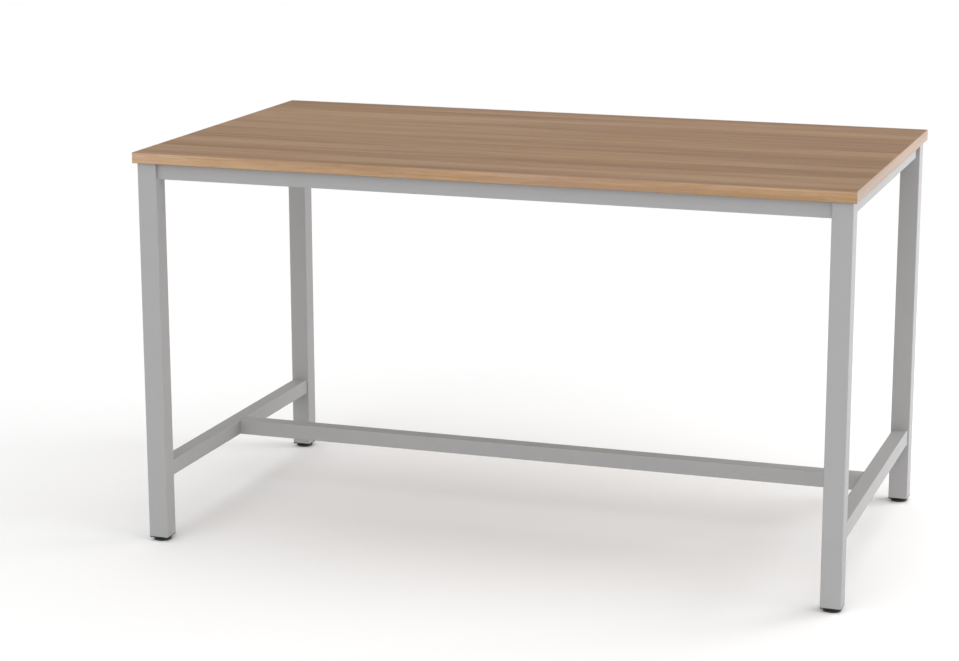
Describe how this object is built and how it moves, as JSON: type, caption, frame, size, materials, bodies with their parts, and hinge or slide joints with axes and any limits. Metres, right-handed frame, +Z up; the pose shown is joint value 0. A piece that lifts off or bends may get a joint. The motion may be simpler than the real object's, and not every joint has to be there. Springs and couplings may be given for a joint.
{
  "type": "standing meeting table",
  "caption": "Standing-height meeting table with a wood-look top on a square steel tube frame, an H-shaped foot rail and screw-levelled feet.",
  "frame": {"origin": "on the floor, under the middle of the top", "axes": "+X to the right along the table, +Z up, the front at -Y"},
  "size_m": [1.8, 1, 1.002],
  "materials": {
    "wood_top": "matt wood-look laminate",
    "edge_band": "wood-look edge band",
    "powder_coat": "satin silver-grey powder coat",
    "zinc_steel": "bright zinc plating",
    "black_plastic": "moulded black"
  },
  "bodies": {
    "frame": {"top_board": "wood_top", "edge_band_front": "edge_band", "edge_band_back": "edge_band", "edge_band_left": "edge_band", "edge_band_right": "edge_band", "front_rail": "powder_coat", "back_rail": "powder_coat", "left_end_rail": "powder_coat", "right_end_rail": "powder_coat", "lower_rail_left": "powder_coat", "lower_rail_right": "powder_coat", "centre_stretcher": "powder_coat", "leg_front_left": "powder_coat", "leg_front_right": "powder_coat", "leg_back_left": "powder_coat", "leg_back_right": "powder_coat", "rail_spigot_front_left": "powder_coat", "rail_spigot_front_right": "powder_coat", "rail_spigot_back_left": "powder_coat", "rail_spigot_back_right": "powder_coat", "stretcher_spigot_left": "powder_coat", "stretcher_spigot_right": "powder_coat", "rail_bolts": "zinc_steel", "rail_nuts": "zinc_steel", "stretcher_bolts": "zinc_steel", "stretcher_nuts": "zinc_steel", "top_tabs": "powder_coat", "top_screws": "zinc_steel", "foot_insert_front_left": "black_plastic", "foot_insert_front_right": "black_plastic", "foot_insert_back_left": "black_plastic", "foot_insert_back_right": "black_plastic", "insert_nuts": "zinc_steel"},
    "pad_front_left": {"foot_pad_front_left": "black_plastic"},
    "stud_front_left": {"foot_stud_front_left": "zinc_steel"},
    "pad_front_right": {"foot_pad_front_right": "black_plastic"},
    "stud_front_right": {"foot_stud_front_right": "zinc_steel"},
    "pad_back_left": {"foot_pad_back_left": "black_plastic"},
    "stud_back_left": {"foot_stud_back_left": "zinc_steel"},
    "pad_back_right": {"foot_pad_back_right": "black_plastic"},
    "stud_back_right": {"foot_stud_back_right": "zinc_steel"}
  },
  "joints": [
    {"name": "foot_height_front_left", "type": "slide", "parent": "frame", "child": "pad_front_left", "axis": [0, 0, -1], "range_m": [0, 0.015]},
    {"name": "foot_turn_front_left", "type": "hinge", "parent": "pad_front_left", "child": "stud_front_left", "pos_m": [-0.866, -0.466, 0.02], "axis": [0, 0, -1], "range_deg": [0, 4320]},
    {"name": "foot_height_front_right", "type": "slide", "parent": "frame", "child": "pad_front_right", "axis": [0, 0, -1], "range_m": [0, 0.015]},
    {"name": "foot_turn_front_right", "type": "hinge", "parent": "pad_front_right", "child": "stud_front_right", "pos_m": [0.866, -0.466, 0.02], "axis": [0, 0, -1], "range_deg": [0, 4320]},
    {"name": "foot_height_back_left", "type": "slide", "parent": "frame", "child": "pad_back_left", "axis": [0, 0, -1], "range_m": [0, 0.015]},
    {"name": "foot_turn_back_left", "type": "hinge", "parent": "pad_back_left", "child": "stud_back_left", "pos_m": [-0.866, 0.466, 0.02], "axis": [0, 0, -1], "range_deg": [0, 4320]},
    {"name": "foot_height_back_right", "type": "slide", "parent": "frame", "child": "pad_back_right", "axis": [0, 0, -1], "range_m": [0, 0.015]},
    {"name": "foot_turn_back_right", "type": "hinge", "parent": "pad_back_right", "child": "stud_back_right", "pos_m": [0.866, 0.466, 0.02], "axis": [0, 0, -1], "range_deg": [0, 4320]}
  ],
  "couplings": [
    {"joint": "foot_turn_front_left", "follows": "foot_height_front_left", "rad_per_m": 5026.5},
    {"joint": "foot_turn_front_right", "follows": "foot_height_front_right", "rad_per_m": 5026.5},
    {"joint": "foot_turn_back_left", "follows": "foot_height_back_left", "rad_per_m": 5026.5},
    {"joint": "foot_turn_back_right", "follows": "foot_height_back_right", "rad_per_m": 5026.5}
  ]
}
